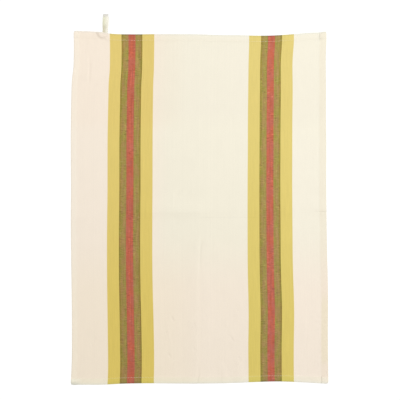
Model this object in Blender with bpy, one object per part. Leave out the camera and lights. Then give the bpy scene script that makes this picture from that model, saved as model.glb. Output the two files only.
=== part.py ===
"""A striped cotton tea towel, hemmed on all four sides, lying face up on a flat surface.

Metres. X runs across the towel, Y from its foot to its head, Z up from the surface it lies on.
The origin is on that surface, under the middle of the whole part with its loop.

A place on the cloth is given where it would lie on a towel with straight sides. lie() then draws
it in towards the middle, as far as the real towel's soft sides are drawn in there.
"""

import math
from collections import namedtuple

import bmesh
import bpy

# The towel's furthest reach from the origin, on each side
HALF_WIDTH = 0.2576
HEAD_REACH = 0.3380
FOOT_REACH = 0.3706

# The cloth, and the hems that are turned in along its four sides
CLOTH_THICK = 0.0012
HEM_THICK = 0.0022
CORNER_THICK = 0.0027
SIDE_HEM_LEFT = 0.0115
SIDE_HEM_RIGHT = 0.0138
HEAD_HEM = 0.0133
FOOT_HEM = 0.0130
HEM_STEP = 0.0012
RIM_ROUND = 0.0008
RIM_HEIGHT = 0.45

# The tape of the hanging loop, and its end where both legs are sewn flat under the hem
TAPE_THICK = 0.0011
TAPE_END_THICK = 0.0016
TAPE_GAP = 0.0057
TAPE_TIP = 0.3706
TAPE_PARTS = 0.3390
TAPE_LEAVES_HEM = 0.3362
TAPE_END = 0.3260
ARCH_SHARE = 0.55
BEND_STEPS = 8
LEG_STEPS = 10

# The raised patch of hem over the tape's sewn end
PATCH_LEFT = -0.2030
PATCH_MIDDLE = -0.1930
PATCH_RIGHT = -0.1830
PATCH_FOOT = 0.3245
PATCH_SLOPE = 0.0050
PATCH_LIFT = 0.0020

# Where the fold across the middle meets the fold down the centre
CROSS_FOLD = -0.0223

# Spacing of the mesh lines over plain cloth, and where they run along the two folds
PLAIN_STEP = 0.0160
CENTRE_LINES = (-0.0186, -0.0141, -0.0104, -0.0066, -0.0028, 0.0012, 0.0070)
CROSS_LINES = (-0.0190, -0.0125, -0.0060, 0.0, 0.0060, 0.0125, 0.0190)

# The two ways to cut a mesh cell into triangles, by its corners
HALVES = ((0, 1, 2), (0, 2, 3))
OTHER_HALVES = ((0, 1, 3), (1, 2, 3))

# How far each side is drawn in from its furthest reach, from foot to head or from left to right
DrawnIn = namedtuple("DrawnIn", "at by")
LEFT_SIDE = [
    DrawnIn(-0.3706, 0.0000),
    DrawnIn(-0.3340, 0.0018),
    DrawnIn(-0.2620, 0.0024),
    DrawnIn(-0.1500, 0.0014),
    DrawnIn(-0.0640, 0.0003),
    DrawnIn(0.0200, 0.0006),
    DrawnIn(0.1500, 0.0003),
    DrawnIn(0.2060, 0.0013),
    DrawnIn(0.2420, 0.0027),
    DrawnIn(0.2600, 0.0050),
    DrawnIn(0.2960, 0.0062),
    DrawnIn(0.3380, 0.0058),
]
RIGHT_SIDE = [
    DrawnIn(-0.3706, 0.0000),
    DrawnIn(-0.3340, 0.0006),
    DrawnIn(-0.2620, 0.0018),
    DrawnIn(-0.2000, 0.0011),
    DrawnIn(-0.1000, 0.0027),
    DrawnIn(-0.0460, 0.0042),
    DrawnIn(0.0620, 0.0048),
    DrawnIn(0.1340, 0.0046),
    DrawnIn(0.2420, 0.0056),
    DrawnIn(0.3380, 0.0048),
]
HEAD_SIDE = [
    DrawnIn(-0.2560, 0.0000),
    DrawnIn(-0.2190, 0.0018),
    DrawnIn(-0.2067, 0.0026),
    DrawnIn(-0.1820, 0.0062),
    DrawnIn(-0.1390, 0.0076),
    DrawnIn(-0.0900, 0.0072),
    DrawnIn(-0.0100, 0.0074),
    DrawnIn(0.0570, 0.0096),
    DrawnIn(0.1060, 0.0104),
    DrawnIn(0.1490, 0.0100),
    DrawnIn(0.1977, 0.0068),
    DrawnIn(0.2466, 0.0034),
    DrawnIn(0.2576, 0.0010),
]
FOOT_SIDE = [
    DrawnIn(-0.2576, 0.0000),
    DrawnIn(-0.1920, 0.0002),
    DrawnIn(-0.1260, 0.0030),
    DrawnIn(-0.0180, 0.0028),
    DrawnIn(0.0540, 0.0038),
    DrawnIn(0.1020, 0.0054),
    DrawnIn(0.1580, 0.0069),
    DrawnIn(0.2040, 0.0052),
    DrawnIn(0.2576, 0.0020),
]

# The folds left in the cloth, each a soft ridge along its stations
FoldStation = namedtuple("FoldStation", "x y rise")
Fold = namedtuple("Fold", "reach stations")
FOLDS = [
    Fold(  # the fold across the towel's middle, highest left of its centre
        0.0190,
        [
            FoldStation(-0.2576, -0.0340, 0.0007),
            FoldStation(-0.2300, -0.0340, 0.0007),
            FoldStation(-0.2010, -0.0300, 0.0001),
            FoldStation(-0.1600, -0.0290, 0.0004),
            FoldStation(-0.1040, -0.0238, 0.0015),
            FoldStation(-0.0420, CROSS_FOLD, 0.0016),
            FoldStation(-0.0140, CROSS_FOLD, 0.0011),
            FoldStation(0.0160, -0.0218, 0.0009),
            FoldStation(0.0760, -0.0216, 0.0004),
            FoldStation(0.1740, -0.0205, 0.0006),
            FoldStation(0.2050, -0.0190, 0.0001),
            FoldStation(0.2480, -0.0185, 0.0010),
            FoldStation(0.2576, -0.0185, 0.0008),
        ],
    ),
    Fold(  # the cloth stands a little off the surface along its centre
        0.0450,
        [
            FoldStation(0.0010, 0.2600, 0.0000),
            FoldStation(0.0010, 0.1000, 0.0004),
            FoldStation(0.0010, -0.0600, 0.0009),
            FoldStation(0.0010, -0.3706, 0.0009),
        ],
    ),
    Fold(  # the narrow ridge on the left of the centre fold
        0.0120,
        [
            FoldStation(-0.0066, -0.0500, 0.0000),
            FoldStation(-0.0066, -0.1100, 0.0005),
            FoldStation(-0.0066, -0.1400, 0.0008),
            FoldStation(-0.0066, -0.2200, 0.0007),
            FoldStation(-0.0066, -0.3200, 0.0005),
            FoldStation(-0.0105, -0.3706, 0.0007),
        ],
    ),
    Fold(  # the pucker that runs out of the centre fold to the upper right
        0.0090,
        [
            FoldStation(0.0040, -0.1200, 0.0000),
            FoldStation(0.0160, -0.1110, 0.0006),
            FoldStation(0.0500, -0.0900, 0.0000),
        ],
    ),
    Fold(  # the slanting wrinkle above the cross fold
        0.0120,
        [
            FoldStation(-0.0520, -0.0160, 0.0000),
            FoldStation(-0.0500, 0.0020, 0.0008),
            FoldStation(-0.0440, 0.0060, 0.0008),
            FoldStation(-0.0220, 0.0260, 0.0000),
        ],
    ),
    Fold(  # where the left side steps in
        0.0170,
        [
            FoldStation(-0.2576, 0.2500, 0.0015),
            FoldStation(-0.2250, 0.2480, 0.0008),
            FoldStation(-0.2000, 0.2400, 0.0000),
        ],
    ),
    Fold(  # the ripple that the foot hem draws into the lower right
        0.0180,
        [
            FoldStation(0.0830, -0.3706, 0.0014),
            FoldStation(0.0810, -0.3450, 0.0009),
            FoldStation(0.0740, -0.3100, 0.0000),
        ],
    ),
]

# The tape's middle and width at each height, from its tip to its sewn end
TapeStation = namedtuple("TapeStation", "y middle width")
TAPE = [
    TapeStation(0.3706, -0.1874, 0.0104),
    TapeStation(0.3660, -0.1877, 0.0122),
    TapeStation(0.3530, -0.1877, 0.0122),
    TapeStation(0.3440, -0.1883, 0.0110),
    TapeStation(0.3362, -0.1883, 0.0100),
    TapeStation(0.3260, -0.1930, 0.0165),
]

Finish = namedtuple("Finish", "name colour roughness")
CLOTH_FINISH = Finish("cream_cotton", (0.86, 0.79, 0.68, 1.0), 0.9)
TAPE_FINISH = Finish("cotton_tape", (0.82, 0.78, 0.60, 1.0), 0.9)


def ease(share):
    """A soft step from 0 to 1."""
    share = min(max(share, 0.0), 1.0)
    return share * share * (3.0 - 2.0 * share)


def along(rows, at, value):
    """The value of a table's column at a place between its rows, whose first column is that place."""
    if at <= rows[0][0]:
        return getattr(rows[0], value)
    for low, high in zip(rows, rows[1:]):
        if at <= high[0]:
            share = ease((at - low[0]) / (high[0] - low[0]))
            return getattr(low, value) * (1.0 - share) + getattr(high, value) * share
    return getattr(rows[-1], value)


def lie(x, y):
    """Where a place on the straight towel lies on the real one."""
    side = RIGHT_SIDE if x > 0.0 else LEFT_SIDE
    end, reach = (HEAD_SIDE, HEAD_REACH) if y > 0.0 else (FOOT_SIDE, FOOT_REACH)
    return (
        x * (1.0 - along(side, y, "by") / HALF_WIDTH),
        y * (1.0 - along(end, x, "by") / reach),
    )


def straight_x(x, y):
    """The place across the straight towel that lies at x on the real one, y above the middle."""
    side = RIGHT_SIDE if x > 0.0 else LEFT_SIDE
    return x / (1.0 - along(side, y, "by") / HALF_WIDTH)


def straight_y(x, y):
    """The place along the straight towel that lies at y on the real one, x from the middle."""
    end, reach = (HEAD_SIDE, HEAD_REACH) if y > 0.0 else (FOOT_SIDE, FOOT_REACH)
    return y / (1.0 - along(end, x, "by") / reach)


def fold_rise(fold, x, y):
    """How far one fold lifts the cloth: the highest of its stretches, rounded over its reach."""
    lift = 0.0
    for a, b in zip(fold.stations, fold.stations[1:]):
        dx, dy = b.x - a.x, b.y - a.y
        share = ((x - a.x) * dx + (y - a.y) * dy) / (dx * dx + dy * dy)
        share = min(max(share, 0.0), 1.0)
        away = math.hypot(x - a.x - dx * share, y - a.y - dy * share)
        crest = a.rise + (b.rise - a.rise) * share
        lift = max(lift, crest * ease(1.0 - away / fold.reach))
    return lift


def patch_rise(x, y):
    """How far the tape's sewn end lifts the hem: level over the tape, sloping away round it."""
    beyond = max(
        straight_x(PATCH_LEFT, PATCH_FOOT) - x,
        x - straight_x(PATCH_RIGHT, PATCH_FOOT),
        straight_y(PATCH_MIDDLE, PATCH_FOOT) - y,
    )
    return PATCH_LIFT * min(max(1.0 - beyond / PATCH_SLOPE, 0.0), 1.0)


def rise(x, y):
    """How far the cloth's underside stands off the surface: its folds together, or the patch."""
    return max(patch_rise(x, y), sum(fold_rise(fold, x, y) for fold in FOLDS))


def thickness(x, y):
    """One layer of cloth, or the turned-in layers of a hem, or two hems crossing at a corner."""
    slack = HEM_STEP / 2.0
    on_side = x < SIDE_HEM_LEFT - HALF_WIDTH + slack or x > HALF_WIDTH - SIDE_HEM_RIGHT - slack
    on_end = y < FOOT_HEM - FOOT_REACH + slack or y > HEAD_REACH - HEAD_HEM - slack
    if on_side and on_end:
        return CORNER_THICK
    return HEM_THICK if on_side or on_end else CLOTH_THICK


def mesh_lines(low, high, low_hem, high_hem, inner):
    """The mesh lines from one side to the other: rims, hems, the named inner ones and plain cloth."""
    named = {low, low + RIM_ROUND, low + low_hem, low + low_hem + HEM_STEP}
    named |= {high, high - RIM_ROUND, high - high_hem, high - high_hem - HEM_STEP}
    named = sorted(named | set(inner))
    lines = []
    for a, b in zip(named, named[1:]):
        parts = max(1, math.ceil((b - a) / PLAIN_STEP))
        lines += [a + (b - a) * part / parts for part in range(parts)]
    return lines + [high]


def finish(obj, look):
    """Gives an object its own material."""
    material = bpy.data.materials.new(look.name)
    material.use_nodes = True
    shader = material.node_tree.nodes["Principled BSDF"]
    shader.inputs["Base Color"].default_value = look.colour
    shader.inputs["Roughness"].default_value = look.roughness
    shader.inputs["Metallic"].default_value = 0.0
    obj.data.materials.append(material)


def place(name, mesh, look):
    """Puts a finished mesh in the scene as one named piece."""
    obj = bpy.data.objects.new(name, mesh)
    bpy.context.collection.objects.link(obj)
    mesh.shade_smooth()
    mesh.set_sharp_from_angle(angle=math.radians(40.0))
    finish(obj, look)
    return obj


def make_cloth():
    """The hemmed sheet: its face and its back, joined all round at the middle of the rim."""
    patch_x = [straight_x(x, PATCH_FOOT) for x in (PATCH_LEFT, PATCH_MIDDLE, PATCH_RIGHT)]
    patch_x = [patch_x[0] - PATCH_SLOPE, *patch_x, patch_x[-1] + PATCH_SLOPE]
    patch_y = straight_y(PATCH_MIDDLE, PATCH_FOOT)
    xs = mesh_lines(
        -HALF_WIDTH, HALF_WIDTH, SIDE_HEM_LEFT, SIDE_HEM_RIGHT, [*CENTRE_LINES, *patch_x]
    )
    ys = mesh_lines(
        -FOOT_REACH,
        HEAD_REACH,
        FOOT_HEM,
        HEAD_HEM,
        [patch_y, patch_y - PATCH_SLOPE, *(CROSS_FOLD + line for line in CROSS_LINES)],
    )
    verts, face, back = [], {}, {}
    for i, x in enumerate(xs):
        for j, y in enumerate(ys):
            plan = lie(x, y)
            low, thick = rise(x, y), thickness(x, y)
            if i in (0, len(xs) - 1) or j in (0, len(ys) - 1):
                face[i, j] = back[i, j] = len(verts)
                verts.append((*plan, low + thick * RIM_HEIGHT))
                continue
            face[i, j] = len(verts)
            verts.append((*plan, low + thick))
            back[i, j] = len(verts)
            verts.append((*plan, low))
    faces = []
    last_i, last_j = len(xs) - 2, len(ys) - 2
    for i in range(last_i + 1):
        for j in range(last_j + 1):
            corners = [(i, j), (i + 1, j), (i + 1, j + 1), (i, j + 1)]
            # In a corner of the towel, the cut runs into the only corner that isn't on the rim.
            on_other_diagonal = (i == 0) != (j == 0) or (i == last_i) != (j == last_j)
            for half in OTHER_HALVES if on_other_diagonal else HALVES:
                faces.append([face[corners[k]] for k in half])
                faces.append([back[corners[k]] for k in reversed(half)])
    mesh = bpy.data.meshes.new("towel_cloth")
    mesh.from_pydata(verts, [], faces)
    mesh.validate()
    return place("towel_cloth", mesh, CLOTH_FINISH)


def tape_ring():
    """The tape's inner line from where its legs part, round its tip and back, as (y, z, out_y, out_z).

    The lower leg lies on the surface, the upper one arches over it, and the last two values are the
    direction out of the loop there.
    """
    radius = TAPE_GAP / 2.0
    turn = TAPE_TIP - TAPE_THICK - radius
    points = []
    for step in range(1, LEG_STEPS + 1):
        share = step / (LEG_STEPS + 1)
        points.append((TAPE_PARTS + (turn - TAPE_PARTS) * share, TAPE_THICK, 0.0, -1.0))
    for step in range(BEND_STEPS + 1):
        angle = math.pi * (step / BEND_STEPS - 0.5)
        out_y, out_z = math.cos(angle), math.sin(angle)
        points.append((turn + radius * out_y, TAPE_THICK + radius + radius * out_z, out_y, out_z))
    for step in range(LEG_STEPS, 0, -1):
        share = step / (LEG_STEPS + 1)
        arch = TAPE_THICK + TAPE_GAP * ease(share / ARCH_SHARE)
        points.append((TAPE_PARTS + (turn - TAPE_PARTS) * share, arch, 0.0, 1.0))
    return points


def make_loop():
    """The folded tape: its side is drawn as faces, drawn out across the tape and then shaped."""
    bm = bmesh.new()
    parts_top = TAPE_THICK * 2.0

    def point(y, z):
        return bm.verts.new((0.0, y, z))

    end_low = point(TAPE_END, 0.0)
    end_high = point(TAPE_END, TAPE_END_THICK)
    hem_low = point(TAPE_LEAVES_HEM, 0.0)
    hem_high = point(TAPE_LEAVES_HEM, TAPE_END_THICK)
    mid_y = (TAPE_END + TAPE_LEAVES_HEM) / 2.0
    mid_low = point(mid_y, 0.0)
    mid_high = point(mid_y, TAPE_END_THICK)
    part_low = point(TAPE_PARTS, 0.0)
    part_mid = point(TAPE_PARTS, TAPE_THICK)
    part_high = point(TAPE_PARTS, parts_top)
    bm.faces.new((end_low, mid_low, mid_high, end_high))
    bm.faces.new((mid_low, hem_low, hem_high, mid_high))
    bm.faces.new((hem_low, part_low, part_mid, part_high, hem_high))
    outer, inner = [part_low], [part_mid]
    for y, z, out_y, out_z in tape_ring():
        inner.append(point(y, z))
        outer.append(point(y + out_y * TAPE_THICK, z + out_z * TAPE_THICK))
    outer.append(part_high)
    inner.append(part_mid)
    for k in range(len(inner) - 1):
        bm.faces.new((outer[k], outer[k + 1], inner[k + 1], inner[k]))
    made = bmesh.ops.extrude_face_region(bm, geom=bm.faces[:])
    for vert in made["geom"]:
        if isinstance(vert, bmesh.types.BMVert):
            vert.co.x = 1.0
    rows = sorted(TAPE)
    for vert in bm.verts:
        y = vert.co.y
        vert.co.x = along(rows, y, "middle") + (vert.co.x - 0.5) * along(rows, y, "width")
    bmesh.ops.recalc_face_normals(bm, faces=bm.faces[:])
    mesh = bpy.data.meshes.new("hanging_loop")
    bm.to_mesh(mesh)
    bm.free()
    return place("hanging_loop", mesh, TAPE_FINISH)


def main():
    for obj in list(bpy.data.objects):
        bpy.data.objects.remove(obj, do_unlink=True)
    make_cloth()
    make_loop()


main()
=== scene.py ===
"""The looks of a striped cotton tea towel that lies face up: its cloth, hems, stitches and hanging loop.

Metres, in the part's own frame: X across the towel, Y from its foot to its head, Z up off the surface.
A place on the cloth is given where it would lie on a towel with straight sides. lie() then draws it in
towards the middle, as far as the real towel's soft sides are drawn in there.
"""

import math
from collections import namedtuple

import bpy
import numpy as np
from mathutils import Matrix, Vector


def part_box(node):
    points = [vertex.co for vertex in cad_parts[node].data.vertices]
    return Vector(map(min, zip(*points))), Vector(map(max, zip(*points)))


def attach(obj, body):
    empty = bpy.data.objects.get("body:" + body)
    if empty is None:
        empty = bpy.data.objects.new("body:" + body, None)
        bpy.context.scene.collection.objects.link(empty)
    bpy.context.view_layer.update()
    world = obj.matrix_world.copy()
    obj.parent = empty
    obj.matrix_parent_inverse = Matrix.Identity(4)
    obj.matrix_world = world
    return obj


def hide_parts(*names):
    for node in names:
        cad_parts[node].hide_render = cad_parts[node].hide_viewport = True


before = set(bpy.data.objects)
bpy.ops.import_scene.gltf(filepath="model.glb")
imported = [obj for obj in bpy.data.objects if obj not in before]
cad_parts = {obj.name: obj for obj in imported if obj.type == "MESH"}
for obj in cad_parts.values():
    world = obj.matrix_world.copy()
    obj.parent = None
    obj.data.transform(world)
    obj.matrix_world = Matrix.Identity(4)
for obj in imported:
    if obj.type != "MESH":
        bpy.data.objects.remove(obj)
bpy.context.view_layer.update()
CLOTH_LOW, CLOTH_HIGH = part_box("towel_cloth")
LOOP_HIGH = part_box("hanging_loop")[1]

# The towel's furthest reach from the origin, on each side
HALF_WIDTH = CLOTH_HIGH.x
HEAD_REACH = CLOTH_HIGH.y
FOOT_REACH = -CLOTH_LOW.y

# The camera, which looks straight down on what the picture shows
FRAME_WIDTH = 0.8
FRAME_MIDDLE = (0.0008, -0.0008)
LENS = 120.0
SENSOR = 36.0

# The even light of the studio, and its one soft lamp, at the upper right
STUDIO_LIGHT = (0.800, 0.775, 0.750)
KEY_PLACE = (0.62, 0.80, 1.50)
KEY_SIZE = 2.0
KEY_POWER = 28.6
KEY_COLOUR = (0.922, 1.0, 1.078)

# The floor, with its own grey, and the even glow that makes it white and leaves almost no shadow
FLOOR_HALF = 6.0
FLOOR_GREY = 0.15
FLOOR_GLOW = 0.88

# The cloth, and the hems that are turned under along its four sides, to their folded inner edges,
# where they hold the cloth a little off the surface
CLOTH_THICK = 0.0010
HEM_THICK = 0.0019
CORNER_THICK = 0.0025
SIDE_HEM_LEFT = 0.0115
SIDE_HEM_RIGHT = 0.0138
HEAD_HEM = 0.0133
FOOT_HEM = 0.0130
HEM_STEP = 0.0012
HEM_RECESS = 0.0005
RECESS_REACH = 0.0080

# Its rounded rim, the share of the thickness at which that has its middle, and its drawn-in corners
RIM_ROUND = 0.0013
RIM_HEIGHT = 0.45
CORNER_ROUND = 0.0050
CORNER_PULL = 0.0011

# The rows of stitches that hold the hems, just outside the hems' inner edges and short of the rims
STITCH_INSET = 0.0011
ROW_END = 0.0016
STITCH_PITCH = 0.0031
STITCH_LENGTH = 0.0025
STITCH_WANDER = 0.00006

# Their thread, which is thinner at a stitch's ends, and how far it dives in and stands out, in radii
THREAD_RADIUS = 0.00018
THREAD_SIDES = 6
THREAD_RINGS = 6
END_GIRTH = 0.75
THREAD_ARCH = 0.6
THREAD_DIVE = 1.3
THREAD_STAND = 0.45

# The dimples along the rows, how thin they may leave the cloth, and the ripples that the rows draw into
# it: how long those are, how far and how slowly they stray from even ones, and how they swell
FACE_DIMPLE = 0.00025
BACK_DIMPLE = 0.00042
DIMPLE_REACH = 0.0009
LEAST_THICK = 0.0003
PUCKER_RISE = 0.00022
PUCKER_REACH = 0.0090
PUCKER_LENGTH = 0.0113
PUCKER_STRAY = 1.3
STRAY_LENGTH = 0.047
PUCKER_EVEN = 0.6
SWELL_LENGTH = 0.083

# The bulge of the head hem over the loop's sewn end
PATCH_X = -0.1932
PATCH_HALF_WIDTH = 0.0146
PATCH_LENGTH = 0.0125
PATCH_LEVEL = 0.55
PATCH_LIFT = 0.0023

# The tape of the hanging loop, the least height of its mesh, and how sharply its two sides bend down
TAPE_TIP = LOOP_HIGH.y
TAPE_THICK = 0.0009
TAPE_GAP = 0.0057
TAPE_CLEAR = 0.00002
LEFT_BEND = 1.8
RIGHT_BEND = 2.0

# Its section, in shares of its half width: the round selvedge, the bead beside it, and the ribs
SELVEDGE = 0.09
SELVEDGE_THIN = 0.03
BEAD_AT = 0.90
BEAD_REACH = 0.06
BEAD_RISE = 0.10
RIB_COUNT = 9.0
RIB_RISE = 0.10

# Its mesh: steps along it and round its fold, columns on each half, and how those crowd to the selvedges
TAPE_STEPS = 150
FOLD_STEPS = 10
HALF_COLUMNS = 28
COLUMN_TURN = 0.49

# Its herringbone and its yarns' share in that, its half width in the weave, its tones, painted light
# and shade: paler where its right side is lit, darker on its left, at its sewn base and at its fold; and
# from where to where those fade in
HERRINGBONE_PITCH = 0.00055
YARN_PITCH = 0.00042
YARN_SHARE = 0.3
TAPE_WOVEN_HALF = 0.0061
TAPE_SHADED_LEFT = (0.708, 0.688, 0.523)
TAPE_LIT_RIGHT = (0.782, 0.742, 0.636)
TAPE_BASE_SHADE = (0.845, 0.808, 0.785)
TAPE_FOLD_SHADE = (0.575, 0.545, 0.500)
TAPE_LIT_SPAN = (-0.0040, 0.0055)
TAPE_BASE_SHADE_ALONG = (0.3520, 0.3418)
TAPE_BASE_SHADE_ACROSS = (0.0040, -0.0020)
TAPE_FOLD_SHADE_ALONG = (TAPE_TIP - 0.0098, TAPE_TIP - 0.0002)

# The woven threads, how far they wander in pitches, how much higher the weft is where it begins to
# show and where it shows in full, how deep the weave and the fibres are, and the sewing thread's ply
WARP_PITCH = 0.00062
WEFT_PITCH = 0.00068
THREAD_SWAY = 0.7
CROSSING = (-0.1, 0.1)
THREAD_RISE = 0.00010
FIBRE_RISE = 0.00004
CRUMPLE_RISE = 0.00010
TAPE_RISE = 0.00012
PLY_PITCH = 0.0007
PLY_RISE = 0.00006
SHEEN = 0.15
THREAD_SHEEN = 0.1

# How rough each is at least, and how much rougher in places
CLOTH_ROUGH, CLOTH_ROUGHER = 0.84, 0.12
TAPE_ROUGH, TAPE_ROUGHER = 0.90, 0.10
THREAD_ROUGH, THREAD_ROUGHER = 0.75, 0.10

# The grains of the cloth's and the tape's unevenness: their lengths across and along the cloth, their
# detail and where their noise starts, and how strongly they show on plain cloth, and further on dyed
# stripes and on the dark ones: as brightness or, for SLUB, as pale weft that covers the dye
Grain = namedtuple("Grain", "across along detail start plain dyed dark", defaults=(0.0, 0.0, 0.0))
WARP_SWAY = Grain(0.0090, 0.0300, 1.0, 0.0)
WEFT_SWAY = Grain(0.0300, 0.0090, 1.0, 5.0)
DYE_PATCH = Grain(0.0085, 0.0240, 2.0, 11.0)
SLUB = Grain(0.0090, 0.0014, 1.0, 2.0, 0.0, 0.02, 0.12)
STREAK = Grain(0.0020, 0.0450, 1.0, 3.0, 0.025, 0.12, 0.38)
BAR = Grain(0.0110, 0.0026, 1.0, 12.0, 0.0, 0.0, 0.42)
DASH = Grain(0.0080, 0.0019, 1.0, 9.0, 0.02, 0.0, 1.10)
DASH_CLUSTER = Grain(0.0200, 0.0280, 1.0, 10.0)
FIBRE = Grain(0.0030, 0.0006, 1.0, 4.0, 0.02, 0.0, 0.12)
MOTTLE = Grain(0.0180, 0.0300, 2.0, 6.0, 0.025, 0.0, 0.10)
CRUMPLE = Grain(0.0100, 0.0130, 2.0, 8.0)
ROUGH = Grain(0.0020, 0.0020, 1.0, 7.0)
TAPE_FIBRE = Grain(0.0004, 0.0012, 1.0, 4.0, 0.08)
TAPE_MOTTLE = Grain(0.0040, 0.0060, 2.0, 0.0, 0.06)

# Where the noise of such grains fades in
DYE_SPAN = (0.34, 0.66)
SLUB_SPAN = (0.62, 0.74)
PALE_DASH = (0.42, 0.32)
DARK_DASH = (0.58, 0.68)
CLUSTER_SPAN = (0.42, 0.66)

# The brightness of the deepest threads, and what the upper ones gain: painted shade in the hollows of the
# weave, the tape's herringbone and the thread's ply
CLOTH_DEEPEST, CLOTH_GAIN = 0.86, 0.17
TAPE_DEEPEST, TAPE_GAIN = 0.88, 0.16
THREAD_DEEPEST, THREAD_GAIN = 0.80, 0.22

# How far the dashes differ in brightness, and single threads on plain cloth and further on the dark
# stripes; where the right group's half begins, and what its dark stripes gain; and how much painted
# shade darkens the dark and all dyed stripes on the rolled rims at the head and the foot
PALE_SWING, DARK_SWING = 0.24, 0.28
THREAD_SWING, DARK_THREAD_SWING = 0.02, 0.14
RIGHT_HALF = (-0.01, 0.01)
RIGHT_GAIN = 0.05
DARK_RIM_SHADE, DYED_RIM_SHADE = 0.12, 0.04

# The mesh lines: their step over plain cloth, where they lie beside the rims, hems, stitches, folds and
# ticks, and over the loop's sewn end their step and how far in from the head they begin and end
PLAIN_STEP = 0.0038
RIM_LINES = (0.0, 0.00025, 0.0007, 0.0013, 0.0022)
HEM_LINES = (-0.0007, -0.0001, 0.0006, 0.0014)
STITCH_LINES = (-0.0007, 0.0, 0.0007)
CENTRE_LINES = (
    -0.0100, -0.0080, -0.0060, -0.0046, -0.0032, -0.0018, -0.0004, 0.0010, 0.0028, 0.0046, 0.0064,
)
WRINKLE_LINES = (-0.2272, -0.2256, -0.2240, -0.2224, -0.2208, -0.0574, -0.0558, -0.0542, -0.0528, -0.0514)
LEFT_TICK_LINES = (-0.0700, -0.0685, -0.0670, -0.0655, -0.0640, -0.0625, -0.0610, -0.0592, -0.0500)
CENTRE_TICK_LINES = (-0.0142, -0.0128, -0.0114)
RIGHT_TICK_LINES = tuple(0.0608 + 0.0016 * step for step in range(14))
TICK_ROWS = tuple(-0.3320 + 0.0024 * step for step in range(46))
CROSS_LINES = (
    -0.0180, -0.0150, -0.0120, -0.0095, -0.0070, -0.0045, -0.0022, 0.0, 0.0026, 0.0055, 0.0085, 0.0120,
)
CREASE_LINES = (-0.0014, -0.0006, 0.0006, 0.0014)
NOTCH_LINES = (-0.0278, -0.0265, -0.0252, -0.0239, -0.0226)
PATCH_STEP = 0.0015
PATCH_ROWS = (0.0090, 0.0030)

# How far each side is drawn in from its furthest reach, at places from foot to head or from left to
# right, as (place, by how far)
LEFT_SIDE = [
    (-0.3706, 0.0), (-0.3520, 0.0010), (-0.3340, 0.0018), (-0.2620, 0.0024), (-0.1500, 0.0014),
    (-0.0640, 0.0003), (0.0200, 0.0006), (0.1500, 0.0003), (0.2060, 0.0013), (0.2420, 0.0027),
    (0.2600, 0.0050), (0.2960, 0.0062), (0.3380, 0.0058),
]
RIGHT_SIDE = [
    (-0.3706, 0.0), (-0.3340, 0.0006), (-0.2620, 0.0012), (-0.2000, 0.0007), (-0.1000, 0.0027),
    (-0.0460, 0.0036), (0.0620, 0.0043), (0.0900, 0.0041), (0.1340, 0.0044), (0.1700, 0.0047),
    (0.2180, 0.0046), (0.2960, 0.0048), (0.3140, 0.0040), (0.3380, 0.0040),
]
HEAD_SIDE = [
    (-0.2576, 0.0), (-0.2435, 0.0008), (-0.2190, 0.0018), (-0.2067, 0.0026), (-0.1820, 0.0062),
    (-0.1390, 0.0076), (-0.0900, 0.0072), (-0.0100, 0.0074), (0.0570, 0.0090), (0.0830, 0.0091),
    (0.1060, 0.0101), (0.1490, 0.0099), (0.1977, 0.0066), (0.2240, 0.0042), (0.2466, 0.0032),
    (0.2576, 0.0008),
]
FOOT_SIDE = [
    (-0.2576, 0.0), (-0.2420, 0.0005), (-0.1920, 0.0007), (-0.1560, 0.0025), (-0.1260, 0.0032),
    (-0.0180, 0.0031), (0.0540, 0.0038), (0.1020, 0.0056), (0.1580, 0.0070), (0.2040, 0.0055),
    (0.2576, 0.0024),
]

# Where the edges of the two stripe groups run on the straight towel, from foot to head, as (row, left
# group's left edge, its right edge, right group's left edge, its right edge)
STRIPE_EDGES = [
    (-0.3460, -0.1841, -0.0914, 0.0980, 0.1886),
    (-0.2980, -0.1850, -0.0918, 0.0978, 0.1891),
    (-0.2500, -0.1856, -0.0927, 0.0985, 0.1899),
    (-0.1540, -0.1861, -0.0946, 0.0971, 0.1881),
    (-0.0340, -0.1850, -0.0944, 0.0974, 0.1884),
    (0.1100, -0.1842, -0.0939, 0.0981, 0.1884),
    (0.2300, -0.1834, -0.0934, 0.0991, 0.1896),
    (0.2780, -0.1836, -0.0932, 0.0999, 0.1896),
    (0.3260, -0.1837, -0.0926, 0.1007, 0.1916),
]

# Where the middle of each stripe group lies in the weave, and how far out from it each stripe reaches,
# with its colours and the share of the pale weft that shows in it
LEFT_GROUP = -0.1390
RIGHT_GROUP = 0.1437
Stripe = namedtuple("Stripe", "name reach at_head at_foot weft")
STRIPES = [
    Stripe("coral", 0.0072, (0.444, 0.093, 0.048), (0.418, 0.084, 0.047), 0.06),
    Stripe("inner_olive", 0.0180, (0.285, 0.194, 0.028), (0.258, 0.166, 0.027), 0.12),
    Stripe("outer_olive", 0.0215, (0.256, 0.188, 0.014), (0.230, 0.159, 0.014), 0.09),
    Stripe("yellow", 0.0455, (0.637, 0.491, 0.137), (0.614, 0.471, 0.101), 0.05),
]
DYE_EDGE = 0.0001
RIGHT_GROUP_TONE = (0.992, 1.024, 1.075)
GREEN_OLIVE = (0.92, 1.05, 0.64)
BROWN_OLIVE = (1.08, 0.95, 1.34)
RED_CORAL = (1.03, 0.94, 0.80)
PINK_CORAL = (0.97, 1.06, 1.20)

# The cream of the cloth, pink at the left and the foot and pale elsewhere, where the pink is painted
# light, the warmer cast away from the lamp; its weft, and the sewing thread, which is darker or paler
# from stitch to stitch
CREAM_WARM_CAST = (0.772, 0.678, 0.561)
CREAM_PALE = (0.748, 0.696, 0.567)
PALE_ACROSS = (-0.115, -0.055)
PALE_ALONG = (-0.200, -0.050)
WEFT_CREAM = (0.760, 0.680, 0.540)
THREAD_DARK = (0.80, 0.71, 0.55)
THREAD_PALE = (0.86, 0.79, 0.66)
NO_TONE = (1.0, 1.0, 1.0)

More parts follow.
